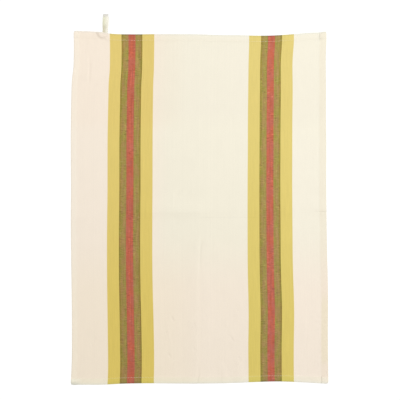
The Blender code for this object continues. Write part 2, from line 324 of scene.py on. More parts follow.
# Tones of parts of the cloth against the rest, as (across, along, colour). Each fades in from the first
# place to the second across the towel, and along it. None stands for no such limit.
HEM_FADE = 0.001
LEFT_INNER = SIDE_HEM_LEFT - HALF_WIDTH
RIGHT_INNER = HALF_WIDTH - SIDE_HEM_RIGHT
FOOT_INNER = FOOT_HEM - FOOT_REACH
ON_LEFT_HEM = (LEFT_INNER, LEFT_INNER - HEM_FADE)
ON_RIGHT_HEM = (RIGHT_INNER, RIGHT_INNER + HEM_FADE)
ON_FOOT_HEM = (FOOT_INNER, FOOT_INNER - HEM_FADE)
OFF_FOOT_HEM = (FOOT_INNER - HEM_FADE, FOOT_INNER)
# Where the painted shade of the rolled rims at the head and at the foot fades in
HEAD_RIM_SHADE = (HEAD_REACH - 0.0045, HEAD_REACH - 0.0010)
FOOT_RIM_SHADE = (0.0060 - FOOT_REACH, 0.0020 - FOOT_REACH)
TONES = [
    (ON_LEFT_HEM, None, (1.013, 1.031, 1.033)),
    (ON_RIGHT_HEM, OFF_FOOT_HEM, (0.972, 0.957, 0.935)),
    (ON_RIGHT_HEM, (-0.180, -0.215), (0.975, 0.990, 0.925)),  # its lower stretch
    (ON_RIGHT_HEM, (-0.318, -0.338), (1.026, 1.010, 1.081)),  # its foot
    (None, ON_FOOT_HEM, (0.985, 1.020, 0.995)),
    # the foot's left corner
    ((-0.237, -0.241), (FOOT_INNER, FOOT_INNER - 2.0 * HEM_FADE), (1.020, 1.045, 1.080)),
    # painted shade on the rolled rims, at the head, and at the foot cooler and greener
    (None, HEAD_RIM_SHADE, (0.930, 0.960, 0.985)),
    (None, FOOT_RIM_SHADE, (0.962, 1.000, 1.025)),
    ((0.020, -0.080), (-0.060, -0.200), (1.000, 0.995, 0.960)),  # yellower at the left of the foot
    ((-0.020, -0.060), (0.130, 0.170), (0.998, 0.985, 0.975)),  # pinker at the left of the head
    ((-0.125, -0.110), (0.140, 0.190), (0.985, 0.980, 0.985)),  # a little darker right of there
    ((-0.184, -0.190), None, (1.006, 1.006, 1.016)),  # the left panel
    ((0.166, 0.170), (0.200, 0.050), (1.014, 1.011, 1.024)),  # the right panel, below its head
]

# The rows of the fold across the towel's middle, and of the fine crease below it
CROSS_FOLD = -0.0223
FINE_CREASE = -0.0359

# The folds and creases left in the cloth, along their stations, each as (x, y, by), with their reach on
# the left and on the right of the way from the first station to the last, where they fade out softly
# or, where they are sharp, come to an edge. In FOLDS, by is how far one lifts the cloth, below zero for
# a trough. In the list of creases after it, by is the share by which painted shade darkens the cloth in
# its creases, dents, slits and rolled rims.
Fold = namedtuple("Fold", "left_reach right_reach stations sharp", defaults=(False,))
FOLDS = [
    # the fold across the towel's middle, highest left of its centre
    Fold(0.0300, 0.0185, [
        (-0.2576, -0.0340, 0.0007), (-0.2300, -0.0340, 0.0007), (-0.2010, -0.0300, 0.0001),
        (-0.1600, -0.0290, 0.0004), (-0.1040, -0.0238, 0.0014), (-0.0720, -0.0223, 0.0013),
        (-0.0420, -0.0223, 0.0016), (-0.0140, -0.0223, 0.0010), (0.0160, -0.0218, 0.0007),
        (0.0460, -0.0212, 0.0005), (0.0760, -0.0216, 0.0004), (0.1080, -0.0220, 0.0005),
        (0.1740, -0.0205, 0.0006), (0.2050, -0.0190, 0.0001), (0.2260, -0.0175, 0.0005),
        (0.2480, -0.0185, 0.0010), (0.2576, -0.0185, 0.0008),
    ]),
    # the cloth stands a little off the surface along its centre
    Fold(0.0450, 0.0450, [
        (0.0010, 0.2600, 0.0), (0.0010, 0.1000, 0.0004), (0.0010, -0.0600, 0.0009),
        (0.0010, -0.3706, 0.0009),
    ]),
    # the narrow ridge on the left of the centre fold
    Fold(0.0054, 0.0300, [
        (-0.0060, -0.0700, 0.0), (-0.0062, -0.1100, 0.0004), (-0.0060, -0.1400, 0.0007),
        (-0.0060, -0.2200, 0.0006), (-0.0062, -0.3200, 0.0006), (-0.0100, -0.3706, 0.0008),
    ]),
    # the pucker where the centre fold begins, and the four ridges round it
    Fold(0.0050, 0.0030, [
        (0.0030, -0.0780, 0.0), (0.0024, -0.0900, -0.0005), (-0.0002, -0.1240, -0.0003),
        (0.0010, -0.1500, 0.0),
    ]),
    Fold(0.0060, 0.0070, [(0.0040, -0.1200, 0.0), (0.0160, -0.1110, 0.0004), (0.0500, -0.0900, 0.0)]),
    Fold(0.0070, 0.0060, [(0.0310, -0.0780, 0.0), (0.0316, -0.0960, 0.0005), (0.0300, -0.1180, 0.0)]),
    Fold(0.0090, 0.0060, [(-0.0560, -0.1020, 0.0), (-0.0580, -0.1160, 0.0005), (-0.0600, -0.1320, 0.0)]),
    Fold(0.0050, 0.0050, [(-0.0340, -0.0840, 0.0), (-0.0390, -0.0960, 0.0003), (-0.0500, -0.1080, 0.0)]),
    # the upright wrinkle above the cross fold
    Fold(0.0032, 0.0028, [
        (-0.0542, -0.0230, 0.0002), (-0.0542, -0.0060, 0.0004), (-0.0536, 0.0080, 0.0003),
        (-0.0510, 0.0130, 0.0),
    ]),
    # where the left side steps in
    Fold(0.0140, 0.0110, [(-0.2576, 0.2500, 0.0006), (-0.2250, 0.2480, 0.0003), (-0.2000, 0.2400, 0.0)]),
    # the pressed-in pleat beside the left stripes
    Fold(0.0034, 0.0034, [
        (-0.2256, 0.2860, 0.0), (-0.2250, 0.2740, -0.0008), (-0.2232, 0.2430, -0.0008),
        (-0.2222, 0.2300, 0.0),
    ]),
    # the small slanting dent in the lower left panel
    Fold(0.0032, 0.0032, [
        (-0.2100, -0.2710, 0.0), (-0.2124, -0.2790, -0.0006), (-0.2160, -0.2890, -0.0006),
        (-0.2215, -0.3060, 0.0),
    ]),
    # the ripples that the foot hem draws into the lower right
    Fold(0.0160, 0.0130, [(0.0830, -0.3706, 0.0014), (0.0810, -0.3450, 0.0009), (0.0740, -0.3100, 0.0)]),
    Fold(0.0110, 0.0090, [(0.0500, -0.3706, 0.0010), (0.0490, -0.3500, 0.0007), (0.0430, -0.3240, 0.0)]),
    # faint creases in the lower half of the middle panel
    Fold(0.0060, 0.0060, [(-0.0680, -0.2400, 0.0), (-0.0620, -0.2700, 0.0002), (-0.0560, -0.3160, 0.0)]),
    Fold(0.0060, 0.0060, [(0.0640, -0.2600, 0.0), (0.0680, -0.2820, 0.0002), (0.0740, -0.3000, 0.0)]),
    # a short mark in the upper right panel
    Fold(0.0040, 0.0040, [(0.2160, 0.1460, 0.0), (0.2210, 0.1390, 0.0004), (0.2290, 0.1300, 0.0)]),
    # the notch that the cross fold leaves in the right hem
    Fold(0.0026, 0.0026, [
        (0.2330, -0.0240, 0.0), (0.2400, -0.0250, -0.0004), (0.2576, -0.0252, -0.0006),
    ], sharp=True),
    # the slits where the right hem's inner edge meets the head and the foot
    Fold(0.0010, 0.0010, [
        (0.2433, 0.3380, -0.0006), (0.2433, 0.3220, -0.0005), (0.2433, 0.3190, 0.0),
    ], sharp=True),
    Fold(0.0010, 0.0010, [
        (0.2438, -0.3706, -0.0009), (0.2438, -0.3600, -0.0008), (0.2438, -0.3540, 0.0),
    ], sharp=True),
]
PAINTED_CREASE_SHADE = [
    # painted shade along the fine crease below the cross fold
    Fold(0.0013, 0.0013, [
        (-0.0020, FINE_CREASE, 0.0), (0.0040, FINE_CREASE, 0.045),
        (0.1180, FINE_CREASE, 0.042), (0.1240, FINE_CREASE, 0.0),
    ]),
    # painted shade along the crest of the cross fold, where it was pressed
    Fold(0.0026, 0.0026, [
        (-0.1200, -0.0278, 0.0), (-0.1000, -0.0278, 0.005), (-0.0500, -0.0276, 0.009),
        (0.0100, -0.0276, 0.006), (0.0500, -0.0262, 0.002), (0.0900, -0.0262, 0.0),
    ]),
    # painted shade in the bottom of the pucker
    Fold(0.0034, 0.0034, [
        (0.0056, -0.0800, 0.0), (0.0048, -0.0900, 0.026), (0.0022, -0.1100, 0.028),
        (0.0024, -0.1260, 0.026), (0.0060, -0.1420, 0.012), (0.0046, -0.1600, 0.008),
        (0.0046, -0.3300, 0.007),
    ]),
    # painted shade in the bottom of the pleat beside the left stripes
    Fold(0.0016, 0.0016, [
        (-0.2256, 0.2840, 0.0), (-0.2250, 0.2740, 0.020), (-0.2232, 0.2430, 0.022),
        (-0.2220, 0.2260, 0.006), (-0.2214, 0.2140, 0.0),
    ]),
    # the slant from the upright wrinkle's head
    Fold(0.0050, 0.0050, [
        (-0.0480, 0.0080, 0.0), (-0.0420, 0.0130, 0.016), (-0.0300, 0.0230, 0.018),
        (-0.0230, 0.0290, 0.0),
    ]),
    # painted shade in the notch in the right hem
    Fold(0.0020, 0.0020, [(0.2300, -0.0240, 0.0), (0.2380, -0.0250, 0.020), (0.2576, -0.0252, 0.028)]),
    # the shaded slits of the right hem, at the head and at the foot
    Fold(0.0036, 0.0036, [
        (0.2433, 0.3380, 0.05), (0.2433, 0.3300, 0.08), (0.2433, 0.3220, 0.07),
        (0.2433, 0.3190, 0.0),
    ]),
    Fold(0.0012, 0.0012, [(0.2438, -0.3706, 0.16), (0.2438, -0.3600, 0.12), (0.2438, -0.3540, 0.0)]),
    # painted shade round the loop's sewn end, below the bulge of the hem
    Fold(0.0050, 0.0034, [
        (-0.2105, 0.3380, 0.040), (-0.2085, 0.3310, 0.045), (-0.2048, 0.3278, 0.040),
        (-0.2007, 0.3266, 0.030), (-0.1946, 0.3256, 0.030), (-0.1894, 0.3238, 0.035),
        (-0.1850, 0.3222, 0.020), (-0.1820, 0.3212, 0.0),
    ]),
    # painted shade along the lower end of the left side
    Fold(0.0018, 0.0018, [
        (-0.2576, -0.2960, 0.0), (-0.2576, -0.3060, 0.08), (-0.2576, -0.3360, 0.08),
        (-0.2576, -0.3440, 0.0),
    ]),
    # the shaded tip of the foot's left corner
    Fold(0.0090, 0.0090, [(-0.2390, -0.3706, 0.04), (-0.2462, -0.3706, 0.20), (-0.2576, -0.3706, 0.30)]),
    # painted shade in the puckers of the foot hem, near the centre fold
    Fold(0.0018, 0.0018, [
        (0.0008, -0.3510, 0.0), (0.0002, -0.3540, 0.07), (-0.0024, -0.3620, 0.07),
        (-0.0030, -0.3706, 0.03),
    ]),
    Fold(0.0024, 0.0024, [
        (0.0450, -0.3510, 0.0), (0.0450, -0.3560, 0.026), (0.0440, -0.3640, 0.030),
        (0.0440, -0.3706, 0.015),
    ]),
]

# Short, slanting ticks pressed into the middle panel, with the painted shade in them, as (x and y of the
# middle, how far it leans, and how far it runs, to each side)
TICK_REACH = 0.0021
TICK_DEPTH = 0.0008
TICK_SHADE = 0.020
TICKS = [
    (-0.0546, -0.2404, 0.0044, 0.0086),
    (-0.0108, -0.2528, 0.0014, 0.0070),
    (-0.0670, -0.2678, 0.0016, 0.0016),
    (-0.0112, -0.3018, 0.0030, 0.0060),
    (0.0658, -0.2823, 0.0050, 0.0065),
    (-0.0607, -0.3148, 0.0045, 0.0060),
    (0.0798, -0.3238, 0.0020, 0.0080),
    (0.0758, -0.2233, 0.0040, 0.0025),
]


def tick_fold(x, y, lean, run, by):
    """A tick as a short fold that fades out at both ends."""
    return Fold(TICK_REACH, TICK_REACH, [(x - lean, y + run, 0.0), (x, y, by), (x + lean, y - run, 0.0)])


FOLDS += [tick_fold(*tick, -TICK_DEPTH) for tick in TICKS]
# the painted shade in the ticks
PAINTED_CREASE_SHADE += [tick_fold(*tick, TICK_SHADE) for tick in TICKS]

# Long, low waves in which the whole cloth lies, as (length, way in degrees, start, height)
WAVES = [
    (0.230, 25.0, 0.3, 0.00022),
    (0.160, 110.0, 1.9, 0.00018),
    (0.097, 62.0, 4.1, 0.00010),
    (0.071, 150.0, 2.7, 0.00008),
    (0.045, 12.0, 5.2, 0.00005),
]


def ease(share):
    """A soft step from 0 to 1."""
    share = np.clip(share, 0.0, 1.0)
    return share * share * (3.0 - 2.0 * share)


def smooth(places, values, at):
    """Values anywhere on a smooth line through those at the known places."""
    slopes = np.gradient(values, places)
    at = np.clip(at, places[0], places[-1])
    low = np.clip(np.searchsorted(places, at, side="right") - 1, 0, len(places) - 2)
    step = places[low + 1] - places[low]
    right = (at - places[low]) / step
    left = 1.0 - right
    line = values[low] * (1.0 + 2.0 * right) * left**2 + values[low + 1] * (1.0 + 2.0 * left) * right**2
    return line + step * (slopes[low] * right * left**2 - slopes[low + 1] * left * right**2)


def along(table, at, column=1):
    """A table's column on a smooth line through its rows, whose first column is the place."""
    columns = np.array(table).T
    return smooth(columns[0], columns[column], at)


def from_sides(x, y):
    """How far in a place lies from the nearer side and from the nearer end, on the straight towel."""
    return HALF_WIDTH - np.abs(x), np.where(y > 0.0, HEAD_REACH - y, FOOT_REACH + y)


def lie(x, y):
    """Where a place on the straight towel lies on the real one, its corners a little rounded."""
    side_by = np.where(x > 0.0, along(RIGHT_SIDE, y), along(LEFT_SIDE, y))
    end_by = np.where(y > 0.0, along(HEAD_SIDE, x), along(FOOT_SIDE, x))
    reach = np.where(y > 0.0, HEAD_REACH, FOOT_REACH)
    from_side, from_end = from_sides(x, y)
    pull = CORNER_PULL * ease(1.0 - from_side / CORNER_ROUND) * ease(1.0 - from_end / CORNER_ROUND)
    return (
        x * (1.0 - (side_by + pull) / HALF_WIDTH),
        y * (1.0 - (end_by + pull) / reach),
    )


def woven_x(x, y):
    """Where a place lies in the weave, in which the stripes run straight and at their true widths."""
    half = STRIPES[-1].reach
    edges = [LEFT_GROUP - half, LEFT_GROUP + half, RIGHT_GROUP - half, RIGHT_GROUP + half]
    woven = [-HALF_WIDTH, *edges, HALF_WIDTH]
    runs = np.stack([along(STRIPE_EDGES, y[0], edge) for edge in range(1, 5)], axis=1)
    rows = [np.interp(row, [-HALF_WIDTH, *run, HALF_WIDTH], woven) for row, run in zip(x.T, runs)]
    return np.stack(rows, axis=1)


def fold_depth(fold, x, y):
    """How far one fold lifts the cloth, or how much painted shade darkens it: the strongest of its
    stretches.
    """
    depth = np.zeros_like(x)
    for (from_x, from_y, from_by), (to_x, to_y, to_by) in zip(fold.stations, fold.stations[1:]):
        dx, dy = to_x - from_x, to_y - from_y
        share = np.clip(((x - from_x) * dx + (y - from_y) * dy) / (dx * dx + dy * dy), 0.0, 1.0)
        away_x, away_y = x - from_x - dx * share, y - from_y - dy * share
        reach = np.where(dx * away_y - dy * away_x > 0.0, fold.left_reach, fold.right_reach)
        near = np.clip(1.0 - np.hypot(away_x, away_y) / reach, 0.0, 1.0)
        here = (from_by + (to_by - from_by) * share) * (near if fold.sharp else ease(near))
        depth = np.where(np.abs(here) > np.abs(depth), here, depth)
    return depth


def waves_rise(x, y):
    """The long, low waves of the whole cloth, never below the surface."""
    lift = np.zeros_like(x)
    for length, way, start, height in WAVES:
        turn = math.radians(way)
        place = (x * math.cos(turn) + y * math.sin(turn)) / length
        lift += height * 0.5 * (1.0 + np.sin(2.0 * math.pi * place + start))
    return lift


def patch_rise(x, y):
    """How far the loop's sewn end lifts the head hem: level over the tape and steep round it."""
    plan_x, plan_y = lie(x, y)
    edge_y = lie(np.full_like(x, PATCH_X), np.full_like(y, HEAD_REACH))[1]
    away = np.hypot((plan_x - PATCH_X) / PATCH_HALF_WIDTH, (plan_y - edge_y) / PATCH_LENGTH)
    return PATCH_LIFT * ease((1.0 - away) / (1.0 - PATCH_LEVEL))


def in_from_hems(x, y):
    """How far past the inner edge of the nearer side hem, and of the nearer end hem, a place lies."""
    from_side, from_end = from_sides(x, y)
    return (
        from_side - np.where(x > 0.0, SIDE_HEM_RIGHT, SIDE_HEM_LEFT),
        from_end - np.where(y > 0.0, HEAD_HEM, FOOT_HEM),
    )


def seam_pucker(away, place):
    """The small ripples that a row of stitches draws into the cloth beside it."""
    turn = 2.0 * math.pi * place
    ripple = np.sin(turn / PUCKER_LENGTH + PUCKER_STRAY * np.sin(turn / STRAY_LENGTH))
    swell = PUCKER_EVEN + (1.0 - PUCKER_EVEN) * np.sin(turn / SWELL_LENGTH + 1.0)
    return PUCKER_RISE * 0.5 * (1.0 + ripple * swell) * np.exp(-np.abs(away) / PUCKER_REACH)


def heights(x, y):
    """The cloth's underside and its face, above the surface that it lies on."""
    past_side, past_end = in_from_hems(x, y)
    on_side, on_end = ease(0.5 - past_side / HEM_STEP), ease(0.5 - past_end / HEM_STEP)
    on_hem = np.maximum(on_side, on_end)
    stitch_side, stitch_end = past_side + STITCH_INSET, past_end + STITCH_INSET
    dimple = np.exp(-((stitch_side / DIMPLE_REACH) ** 2)) + np.exp(-((stitch_end / DIMPLE_REACH) ** 2))
    dimple = np.minimum(dimple, 1.0)

    folds = [fold_depth(fold, x, y) for fold in FOLDS]
    ridges = sum(np.maximum(fold, 0.0) for fold in folds)
    ridges = np.maximum(ridges, patch_rise(x, y))
    troughs = np.minimum.reduce(folds)
    inside = np.maximum(np.minimum(past_side, past_end), 0.0)
    recess = HEM_RECESS * np.exp(-inside / RECESS_REACH) * (1.0 - on_hem)
    pucker = seam_pucker(stitch_side, y) + seam_pucker(stitch_end, x)
    lift = ridges + troughs + recess + pucker + waves_rise(x, y)

    thick = CLOTH_THICK + (HEM_THICK - CLOTH_THICK) * on_hem
    thick = thick + (CORNER_THICK - HEM_THICK) * on_side * on_end
    face = lift + thick - FACE_DIMPLE * dimple
    back = np.maximum(lift, 0.0) + BACK_DIMPLE * dimple
    return back, np.maximum(face, back + LEAST_THICK)


def mesh_lines(low, high, hems, fine):
    """Mesh lines from one side to the other: fine ones at both rims, hems and rows of stitches and at
    the places given, with even steps between them."""
    fine = [low, high, *fine]
    for side, inward, hem in ((low, 1.0, hems[0]), (high, -1.0, hems[1])):
        offsets = [*RIM_LINES, *(hem + line for line in HEM_LINES)]
        offsets += [hem - STITCH_INSET + line for line in STITCH_LINES]
        fine += [side + inward * offset for offset in offsets]
    named = np.unique(np.round(fine, 5))
    lines = [low]
    for a, b in zip(named, named[1:]):
        parts = max(1, math.ceil((b - a) / PLAIN_STEP))
        lines += list(a + (b - a) * np.arange(1, parts + 1) / parts)
    return np.array(lines)


def mesh_object(name, verts, faces, material, places):
    """A smooth mesh piece on the part's one body, with each point's place in the weave or the thread."""
    mesh = bpy.data.meshes.new(name)
    mesh.from_pydata(verts.tolist(), [], [face.tolist() for face in faces])
    mesh.validate()
    layer = mesh.attributes.new("woven", "FLOAT_VECTOR", "POINT")
    layer.data.foreach_set("vector", places.astype(np.float32).ravel())
    mesh.shade_smooth()
    mesh.materials.append(material)
    obj = bpy.data.objects.new(name, mesh)
    bpy.context.collection.objects.link(obj)
    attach(obj, "root")
    return obj


def cells(at):
    """The faces between rows and columns of points, from the points' numbers."""
    corners = [at[:-1, :-1], at[1:, :-1], at[1:, 1:], at[:-1, 1:]]
    return np.stack(corners, axis=-1).reshape(-1, 4)


def make_cloth(material):
    """The hemmed sheet: its face and its back, joined all round at the middle of the rounded rim."""
    patch_x = np.arange(PATCH_X - PATCH_HALF_WIDTH, PATCH_X + PATCH_HALF_WIDTH, PATCH_STEP)
    patch_x = patch_x / (1.0 - LEFT_SIDE[-1][1] / HALF_WIDTH)
    patch_y = np.arange(HEAD_REACH - PATCH_ROWS[0], HEAD_REACH - PATCH_ROWS[1], PATCH_STEP)
    at_folds = [*CENTRE_LINES, *WRINKLE_LINES, *LEFT_TICK_LINES, *CENTRE_TICK_LINES, *RIGHT_TICK_LINES]
    xs = mesh_lines(-HALF_WIDTH, HALF_WIDTH, (SIDE_HEM_LEFT, SIDE_HEM_RIGHT), [*at_folds, *patch_x])
    at_folds = [*NOTCH_LINES, *TICK_ROWS]
    at_folds += [CROSS_FOLD + line for line in CROSS_LINES]
    at_folds += [FINE_CREASE + line for line in CREASE_LINES]
    ys = mesh_lines(-FOOT_REACH, HEAD_REACH, (FOOT_HEM, HEAD_HEM), [*at_folds, *patch_y])
    x, y = np.meshgrid(xs, ys, indexing="ij")
    plan_x, plan_y = lie(x, y)
    back, face = heights(x, y)
    from_side, from_end = from_sides(x, y)
    inward = np.clip(np.minimum(from_side, from_end) / RIM_ROUND, 0.0, 1.0)
    rounded = np.sqrt(1.0 - (1.0 - inward) ** 2)
    middle = back + (face - back) * RIM_HEIGHT
    face = middle + (face - middle) * rounded
    back = middle - (middle - back) * rounded

    face_at = np.arange(x.size).reshape(x.shape)
    back_at = face_at.copy()
    inner = (slice(1, -1), slice(1, -1))
    back_at[inner] = x.size + np.arange(x[inner].size).reshape(x[inner].shape)
    above = np.stack([plan_x, plan_y, face], axis=-1)
    under = np.stack([plan_x, plan_y, back], axis=-1)[inner]
    verts = np.concatenate([above.reshape(-1, 3), under.reshape(-1, 3)])
    # the painted shade of the creases, which the material reads as the third place in the weave
    dark = np.maximum.reduce([fold_depth(crease, x, y) for crease in PAINTED_CREASE_SHADE])
    weave = np.stack([woven_x(x, y), y, dark], axis=-1)
    places = np.concatenate([weave.reshape(-1, 3), weave[inner].reshape(-1, 3)])
    faces = np.concatenate([cells(face_at), cells(back_at)[:, ::-1]])
    cloth = mesh_object("towel_sheet", verts, faces, material, places)
    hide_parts("towel_cloth")
    return cloth


def thread_meshes(starts, ends, low, high, number):
    """Short stitches from starts to ends on the plan, the middle of their thread at the heights low at
    their ends and high over their middles: points, faces and places along the thread."""
    run = ends - starts
    length = np.hypot(run[:, 0], run[:, 1])
    way = run / length[:, None]
    across = np.stack([-way[:, 1], way[:, 0]], axis=1)
    verts, places = [], []
    for ring in range(THREAD_RINGS):
        share = ring / (THREAD_RINGS - 1)
        centre = starts + run * share
        arch = math.sin(math.pi * share) ** THREAD_ARCH
        height = low * (1.0 - arch) + high * arch
        girth = THREAD_RADIUS * (END_GIRTH + (1.0 - END_GIRTH) * arch)
        for side in range(THREAD_SIDES):
            angle = 2.0 * math.pi * side / THREAD_SIDES
            out = across * math.cos(angle) * girth
            verts.append(np.column_stack([centre + out, height + math.sin(angle) * girth]))
            turn = np.full(len(starts), side / THREAD_SIDES)
            places.append(np.column_stack([length * share, turn, number]))
    at = np.arange(THREAD_RINGS * THREAD_SIDES).reshape(THREAD_RINGS, THREAD_SIDES)
    round_it = cells(np.column_stack([at, at[:, 0]]))[:, ::-1]
    one = [*round_it, at[0, ::-1], at[-1]]
    faces = [face + k * at.size for k in range(len(starts)) for face in one]
    return np.stack(verts, axis=1).reshape(-1, 3), faces, np.stack(places, axis=1).reshape(-1, 3)


def hem_rows():
    """The straight rows of stitches along the four hems, as (from, to) on the straight towel."""
    left = -HALF_WIDTH + SIDE_HEM_LEFT - STITCH_INSET
    right = HALF_WIDTH - SIDE_HEM_RIGHT + STITCH_INSET
    foot = -FOOT_REACH + FOOT_HEM - STITCH_INSET
    head = HEAD_REACH - HEAD_HEM + STITCH_INSET
    upright = [((x, ROW_END - FOOT_REACH), (x, HEAD_REACH - ROW_END)) for x in (left, right)]
    level = [((ROW_END - HALF_WIDTH, y), (HALF_WIDTH - ROW_END, y)) for y in (foot, head)]
    return upright + level


def make_hem_stitches(material, random):
    """The rows of stitches that hold the hems, on the face and on the back."""
    stretches = []
    for start, end in hem_rows():
        start, end = np.array(start), np.array(end)
        length = np.hypot(*(end - start))
        count = int(length / STITCH_PITCH)
        way = (end - start) / length
        aside = np.array([-way[1], way[0]])
        wander = random.normal(0.0, STITCH_WANDER, (count, 2))
        middles = start + (end - start) * (np.arange(count)[:, None] + 0.5) / count
        half = way * STITCH_LENGTH / 2.0
        for on_face in (True, False):
            here = middles if on_face else middles + way * STITCH_PITCH / 2.0
            a = here - half + aside * wander[:, :1]
            b = here + half + aside * wander[:, 1:]
            plan_a, plan_b = (np.stack(lie(p[:, 0], p[:, 1]), axis=1) for p in (a, b))
            back, face = heights(here[:, 0], here[:, 1])
            surface, out = (face, THREAD_RADIUS) if on_face else (back, -THREAD_RADIUS)
            low = surface - out * THREAD_DIVE
            high = np.maximum(surface + out * THREAD_STAND, THREAD_RADIUS)
            stretches.append((plan_a, plan_b, low, high, np.arange(count)))
    verts, faces, places = thread_meshes(*(np.concatenate(column) for column in zip(*stretches)))
    stitches = mesh_object("hem_stitches", verts, faces, material, places)
    return stitches


def tape_path():
    """The tape's way from its sewn end along the surface, round its tip and back over itself to the hem:
    its y and z, its middle across the towel, its width, and how far its left and right sides hang down."""
    leg = TAPE_THICK / 2.0
    turn_radius = TAPE_GAP / 2.0 + leg
    turn_y = TAPE_TIP - turn_radius - leg
    top = leg + 2.0 * turn_radius
    stations = [
        (0.3262, 0.00075, -0.1929, 0.0122, 0.0, 0.0),
        (0.3300, 0.00070, -0.1908, 0.0116, 0.0, 0.0),
        (0.3340, 0.00060, -0.1888, 0.0108, 0.0, 0.0),
        (0.3400, leg, -0.1884, 0.0110, 0.0, 0.0),
        (0.3480, leg, -0.1881, 0.0116, 0.0, 0.0),
        (0.3560, leg, -0.1878, 0.0120, 0.0, 0.0),
        (turn_y - 0.0020, leg, -0.1874, 0.0112, 0.0, 0.0),
    ]
    for step in range(FOLD_STEPS + 1):
        share = step / FOLD_STEPS
        angle = math.pi * (share - 0.5)
        y, z = turn_y + turn_radius * math.cos(angle), leg + turn_radius * (1.0 + math.sin(angle))
        drop = ease(2.0 * share - 1.0)
        stations.append((y, z, -0.1875, 0.0102, 0.0007 * drop, 0.0003 * drop))
    stations += [
        (turn_y - 0.0030, top + 0.0001, -0.1873, 0.0112, 0.0009, 0.0004),
        (0.3570, top - 0.0002, -0.1876, 0.0120, 0.0013, 0.0004),
        (0.3520, top - 0.0011, -0.1878, 0.0121, 0.0016, 0.0004),
        (0.3470, top - 0.0027, -0.1880, 0.0117, 0.0015, 0.0004),
        (0.3425, top - 0.0044, -0.1882, 0.0112, 0.0009, 0.0003),
        (0.3385, 0.00195, -0.1884, 0.0107, 0.0003, 0.0001),
        (0.3345, 0.00170, -0.1889, 0.0107, 0.0002, 0.0001),
        (0.3300, 0.00160, -0.1908, 0.0115, 0.0, 0.0),
        (0.3262, 0.00158, -0.1929, 0.0120, 0.0, 0.0),
    ]
    return stations


def make_loop(material):
    """The folded tape: its two faces and their round selvedges, drawn along the path."""
    path = np.array(tape_path())
    run = np.hypot(*np.diff(path[:, :2], axis=0).T)
    run = np.concatenate([[0.0], np.cumsum(run)])
    length = np.linspace(0.0, run[-1], TAPE_STEPS)[:, None]
    y, z, middle, width, left_drop, right_drop = (smooth(run, column, length) for column in path.T)
    way_y, way_z = np.gradient(y, axis=0), np.gradient(z, axis=0)
    way = np.hypot(way_y, way_z)

    turn = math.pi * COLUMN_TURN
    u = np.sin(np.linspace(-turn, turn, 2 * HALF_COLUMNS + 1)) / math.sin(turn)
    selvedge = np.clip((1.0 - np.abs(u)) / SELVEDGE, 0.0, 1.0)
    thin = np.sqrt(np.clip(1.0 - (1.0 - selvedge) ** 2, SELVEDGE_THIN, 1.0))
    bead = 1.0 + BEAD_RISE * np.exp(-(((np.abs(u) - BEAD_AT) / BEAD_REACH) ** 2))
    ribs = 1.0 + RIB_RISE * np.cos(u * math.pi * RIB_COUNT)
    half_thick = TAPE_THICK / 2.0 * thin * bead * ribs
    drop = left_drop * np.clip(-u, 0.0, 1.0) ** LEFT_BEND + right_drop * np.clip(u, 0.0, 1.0) ** RIGHT_BEND

    verts = []
    for out in (half_thick - drop, -half_thick - drop):
        above = np.maximum(z - out * way_y / way, TAPE_CLEAR)
        verts.append(np.stack([middle + u * width / 2.0, y + out * way_z / way, above], axis=-1))
    places = np.stack(np.broadcast_arrays(u * TAPE_WOVEN_HALF, length, y), axis=-1)
    top = np.arange(places[..., 0].size).reshape(places.shape[:2])
    low = top + top.size
    edges = [(low[:, 0], top[:, 0]), (top[:, -1], low[:, -1]), (top[0], low[0]), (low[-1], top[-1])]
    faces = [cells(top), cells(low)[:, ::-1]] + [cells(np.stack(edge, axis=1)) for edge in edges]
    verts, places = (np.stack(both).reshape(-1, 3) for both in (verts, [places, places]))
    loop = mesh_object("loop_tape", verts, np.concatenate(faces), material, places)
    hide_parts("hanging_loop")
    return loop


class Wire:
    """A socket of a finish that arithmetic works on, by adding Math nodes."""

    def __init__(self, finish, socket):
        self.finish = finish
        self.socket = socket

    def math(self, operation, *values):
        return self.finish.node("ShaderNodeMath", dict(enumerate(values)), operation=operation)

    def __add__(self, other):
        return self.math("ADD", self, other)

    def __sub__(self, other):
        return self.math("SUBTRACT", self, other)

    def __rsub__(self, other):
        return self.math("SUBTRACT", other, self)

    def __mul__(self, other):
        return self.math("MULTIPLY", self, other)

    def __truediv__(self, other):
        return self.math("DIVIDE", self, other)

    def __abs__(self):
        return self.math("ABSOLUTE", self)

    def floor(self):
        return self.math("FLOOR", self)

    def sine(self):
        return self.math("SINE", self)

    def least(self, other):
        return self.math("MINIMUM", self, other)

    def most(self, other):
        return self.math("MAXIMUM", self, other)

    __radd__ = __add__
    __rmul__ = __mul__


